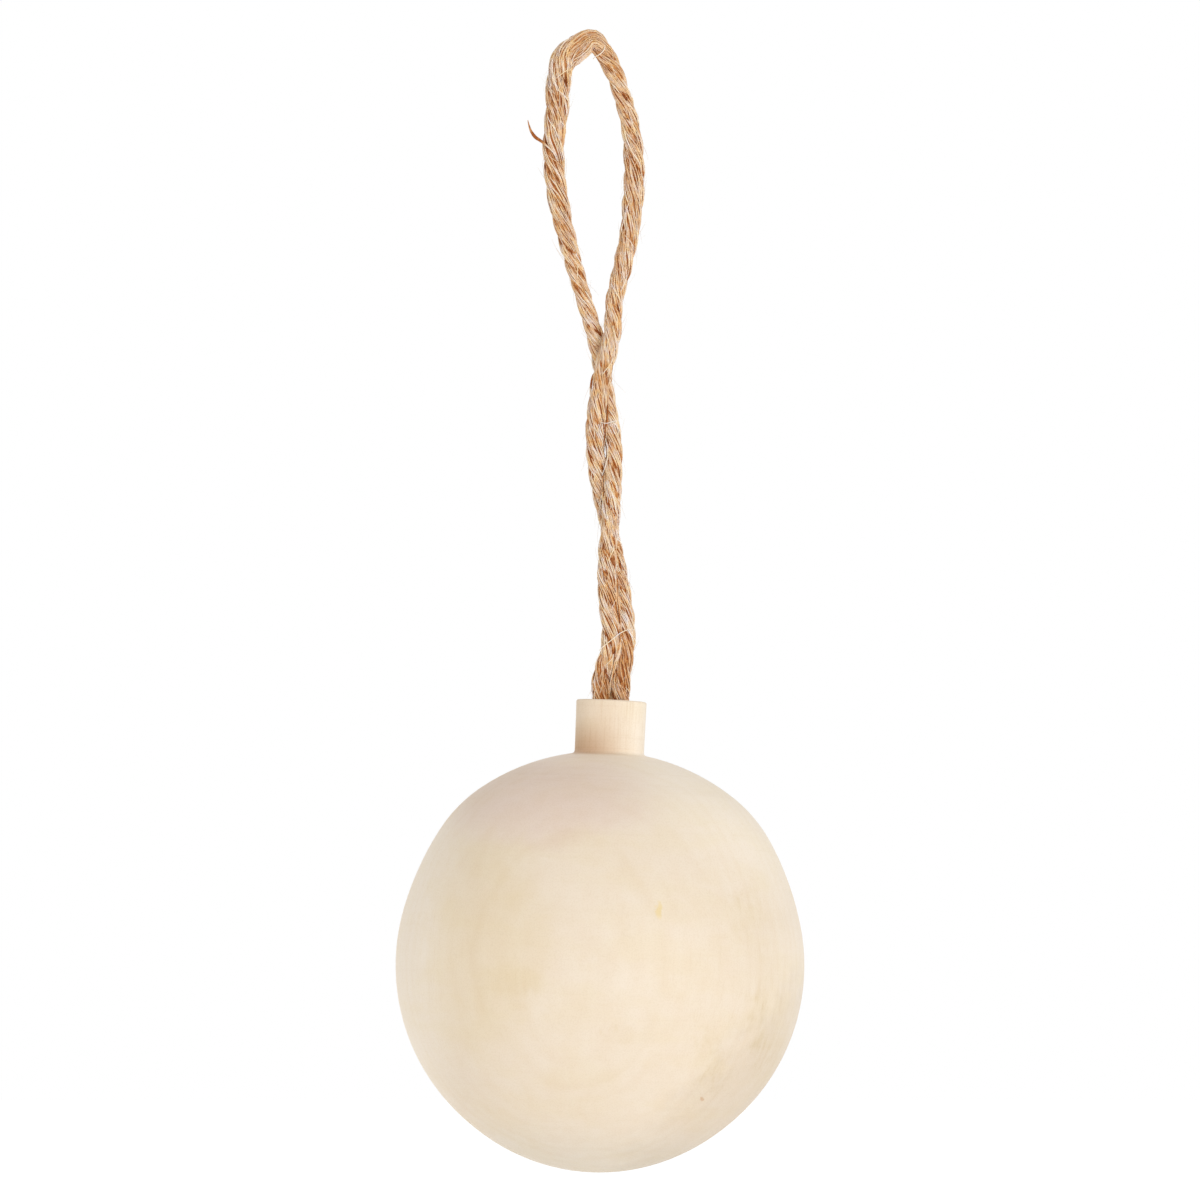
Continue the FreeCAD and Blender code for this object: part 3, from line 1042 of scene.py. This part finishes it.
def streaked(wood, colour):
    """Brown streaks along the grain, only inside a few patches."""
    streaky = wood.times(wood.smooth(wood.coarse_fibre, 0.40, 0.70), wood.smooth(wood.uneven, -0.15, 0.15))
    for middle, half_size, amount in STREAK_PATCHES:
        patch = wood.oval(wood.broad, middle, half_size)
        strength = wood.times(patch, wood.times(wood.plus(0.3, streaky), amount))
        colour = wood.tinted(colour, strength, (0.86, 0.79, 0.58))
    return colour


def marked(wood, colour):
    """The resin fleck and the pin knot."""
    for middle, half_size, amount, mark_colour in SMALL_MARKS:
        mark = wood.oval(wood.small, middle, half_size)
        colour = wood.mix(wood.times(mark, amount), colour, mark_colour)
    return colour


def grained(wood, colour):
    """Fine grain, most of it where the rings are edge on, then turning lines and pores."""
    edge_on = wood.larger(wood.times(wood.sides, 0.24), wood.times(wood.neck, 0.55))
    grain = wood.times(wood.smooth(wood.fibre, 0.50, 0.72), wood.plus(0.12, edge_on))
    colour = wood.tinted(colour, grain, (0.92, 0.87, 0.80))
    well_turned = wood.plus(wood.times(wood.neck, 0.45), wood.times(wood.crown, 0.55))
    lines = wood.times(wood.smooth(wood.turning, 0.50, 0.80), wood.plus(0.22, well_turned))
    colour = wood.tinted(colour, lines, (0.94, 0.91, 0.87))
    pores = wood.times(wood.smooth(wood.speck, 0.42, 0.70), 0.70)
    return wood.tinted(colour, pores, (0.94, 0.925, 0.89))


def wood_material():
    """Pale turned wood with a fine relief."""
    wood = WoodNodes(bpy.data.materials.new("pale_wood"))
    colour = ground_colour_and_painted_light(wood)
    for treat in (stained_and_shaded, streaked, marked, grained):
        colour = treat(wood, colour)
    relief = wood.plus(wood.times(wood.fibre, -0.5), wood.times(wood.turning, -0.6))
    relief = wood.plus(relief, wood.times(wood.speck, -0.5))
    roughness = wood.plus(0.42, wood.times(wood.speck, 0.25))
    return wood.surface(colour, roughness, specular=0.4, height=relief, bump_strength=0.3,
                        bump_distance=0.04 * MM)


# ---- materials and bodies ----
jute = jute_material()
for piece in [twine_core] + twine_pieces:
    piece.data.materials.append(jute)
    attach(piece, "root")
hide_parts("twine_loop")

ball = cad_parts["turned_ball"]
pale_wood = wood_material()
if not ball.material_slots:
    ball.data.materials.append(pale_wood)
for material_slot in ball.material_slots:
    material_slot.link = "OBJECT"
    material_slot.material = pale_wood

# ---- floor, world and lamps ----
FLOOR_GAP = 30 * MM        # below the part
FLOOR_RADIUS = 2.5
FLOOR_CORNERS = 64
FLOOR_GREY = 0.8
FLOOR_GLOW_SEEN = 0.6
FLOOR_GLOW_ON_PART = 0.3
WORLD_SEEN = 1.0
WORLD_ON_PART = 0.60
# Lamps: name, place, size and power in watts.
LAMPS = [
    ("key", (0.70, -1.30, -0.10), 0.7, 10.2),
    ("side", (-1.30, -0.30, 0.0), 0.5, 1.6),
]


def floor_material():
    """Matt and pale, with a glow that keeps it white where it is seen."""
    nodes = Nodes(bpy.data.materials.new("floor"))
    matt = nodes.add("ShaderNodeBsdfDiffuse", Color=grey(FLOOR_GREY))
    glowing = []
    for strength in (FLOOR_GLOW_SEEN, FLOOR_GLOW_ON_PART):
        glow = nodes.add("ShaderNodeEmission", Color=grey(1), Strength=strength)
        glowing.append(nodes.add_in_order("ShaderNodeAddShader", matt.outputs[0], glow.outputs[0]))
    nodes.seen_or_lighting(*glowing)
    return nodes.owner


def add_floor():
    """A round floor, some way below the part."""
    turns = np.arange(FLOOR_CORNERS) / FLOOR_CORNERS * 2 * math.pi
    rim = [(FLOOR_RADIUS * math.cos(turn), FLOOR_RADIUS * math.sin(turn), 0) for turn in turns]
    mesh = bpy.data.meshes.new("floor")
    mesh.from_pydata(rim, [], [list(range(FLOOR_CORNERS))])
    mesh.materials.append(floor_material())
    floor = add_object("floor", mesh)
    floor.location = (0, 0, cad_box[0].z - FLOOR_GAP)


def add_world():
    """An even white world that is brighter where it is seen than where it lights the part."""
    scene.world = bpy.data.worlds.new("world")
    nodes = Nodes(scene.world, "ShaderNodeOutputWorld")
    seen, lighting = (nodes.add("ShaderNodeBackground", Color=grey(1), Strength=strength)
                      for strength in (WORLD_SEEN, WORLD_ON_PART))
    nodes.seen_or_lighting(seen, lighting)


def add_lamp(name, place, size, power, target):
    """A square lamp that faces a target."""
    data = bpy.data.lights.new(name, "AREA")
    data.shape = "SQUARE"
    data.size = size
    data.energy = power
    lamp = add_object(name, data)
    lamp.location = place
    lamp.rotation_euler = (target - Vector(place)).to_track_quat("-Z", "Y").to_euler()


add_floor()
add_world()
for lamp_row in LAMPS:
    add_lamp(*lamp_row, target=ball_middle)
scene.view_settings.view_transform = "Standard"
